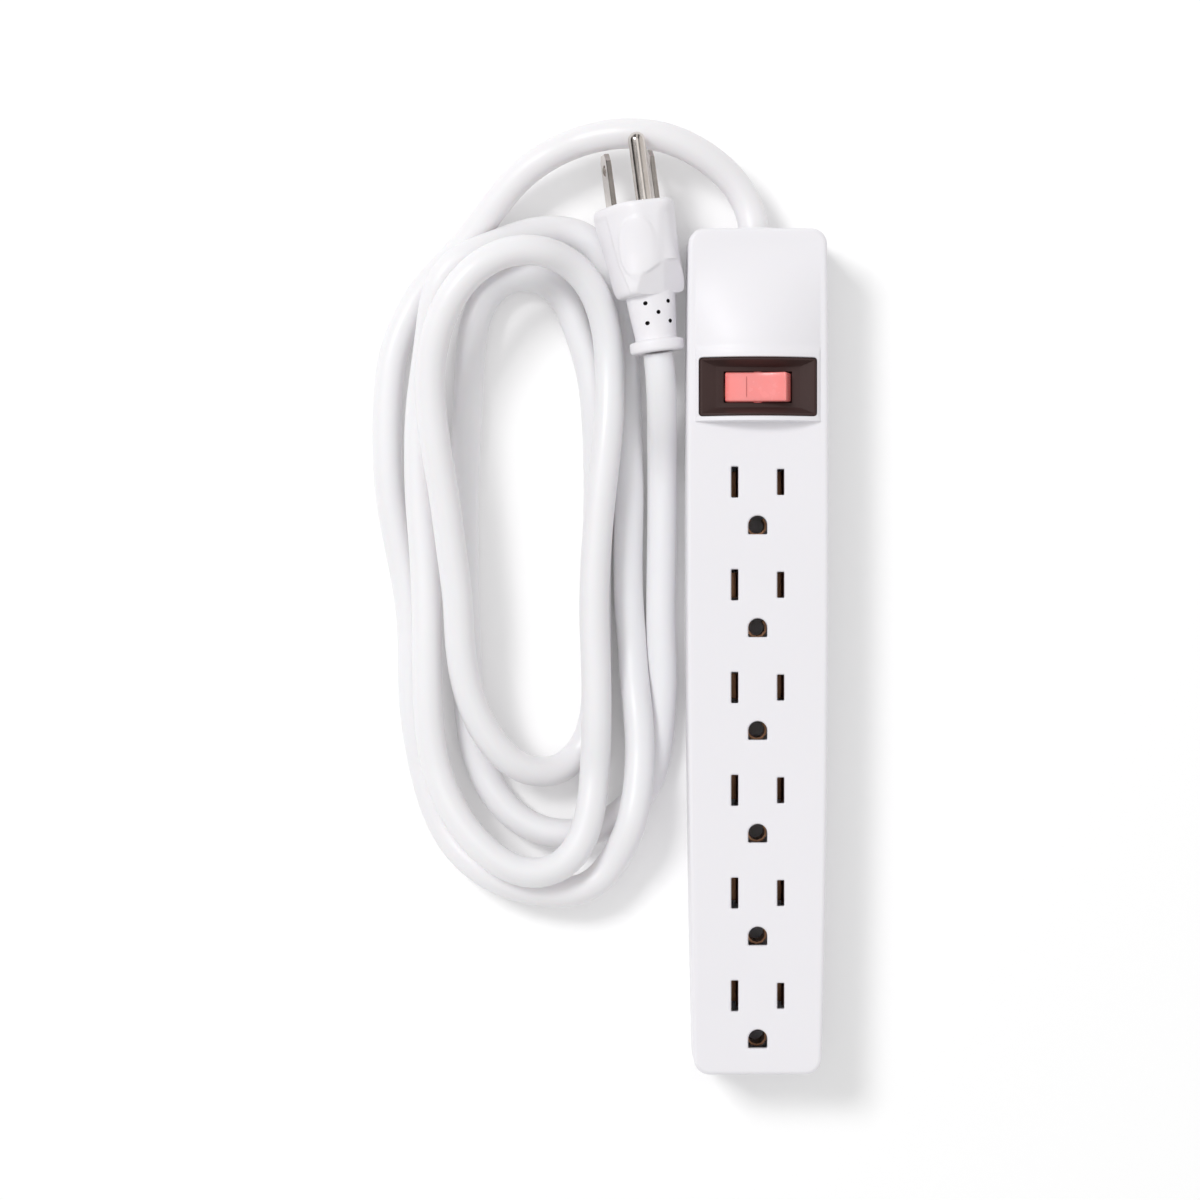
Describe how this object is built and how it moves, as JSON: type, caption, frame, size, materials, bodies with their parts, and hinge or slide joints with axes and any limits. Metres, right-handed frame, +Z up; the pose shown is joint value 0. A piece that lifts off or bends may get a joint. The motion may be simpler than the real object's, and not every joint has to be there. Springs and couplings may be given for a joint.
{
  "type": "power strip",
  "caption": "Straight grounded power strip with a row of outlets, a lit rocker switch under a raised hood, and a coiled lead ending in a grounded plug.",
  "frame": {"origin": "on the surface that the strip lies on, under the middle of its case", "axes": "+Y along the case towards the end with the switch and the lead, +Z up out of the outlet face, +X across the case away from the coiled lead"},
  "size_m": [0.1274, 0.2655, 0.032],
  "materials": {
    "white_shell": "satin white moulded plastic",
    "white_lead": "flexible white vinyl",
    "black_moulding": "dark moulded plastic",
    "red_lens": "translucent pale red plastic",
    "brass": "stamped brass strip",
    "nickel": "nickel-plated brass",
    "steel": "zinc-plated steel",
    "lamp_glass": "clear glass with an orange glow",
    "ceramic": "coated resistor body",
    "black_wire": "black vinyl insulation",
    "white_wire": "white vinyl insulation",
    "green_wire": "green vinyl insulation"
  },
  "bodies": {
    "strip": {"base_cover": "white_shell", "top_cover": "white_shell", "case_screw_1": "steel", "case_screw_2": "steel", "case_screw_3": "steel", "case_screw_4": "steel", "case_screw_5": "steel", "case_screw_6": "steel", "hot_bus": "brass", "neutral_bus": "brass", "ground_bus": "brass", "switch_frame": "black_moulding", "switch_back": "black_moulding", "line_terminal": "brass", "load_terminal": "brass", "lamp_terminal": "brass", "lamp_resistor": "ceramic", "cord_sleeve": "white_lead", "cord_clamp": "white_shell", "clamp_screw_1": "steel", "clamp_screw_2": "steel", "line_wire": "black_wire", "neutral_wire": "white_wire", "ground_wire": "green_wire", "load_wire": "black_wire", "cord_lead": "white_lead", "cord_coil": "white_lead", "cord_tail": "white_lead", "plug_body": "white_lead", "plug_bridge": "black_moulding", "neutral_blade": "nickel", "hot_blade": "nickel", "ground_pin": "nickel"},
    "rocker": {"rocker": "red_lens", "neon_lamp": "lamp_glass", "plunger": "black_moulding", "plunger_spring": "steel"},
    "contact_arm": {"contact_arm": "brass"}
  },
  "joints": [
    {"name": "rocker_tilt", "type": "hinge", "parent": "strip", "child": "rocker", "pos_m": [0, 0.073, 0.025], "axis": [0, 1, 0], "range_deg": [0, 20]},
    {"name": "contact_arm_tilt", "type": "hinge", "parent": "strip", "child": "contact_arm", "pos_m": [0, 0.073, 0.01337], "axis": [0, 1, 0], "range_deg": [-12, 0]}
  ],
  "couplings": [
    {"joint": "contact_arm_tilt", "follows": "rocker_tilt", "ratio": -0.6}
  ]
}
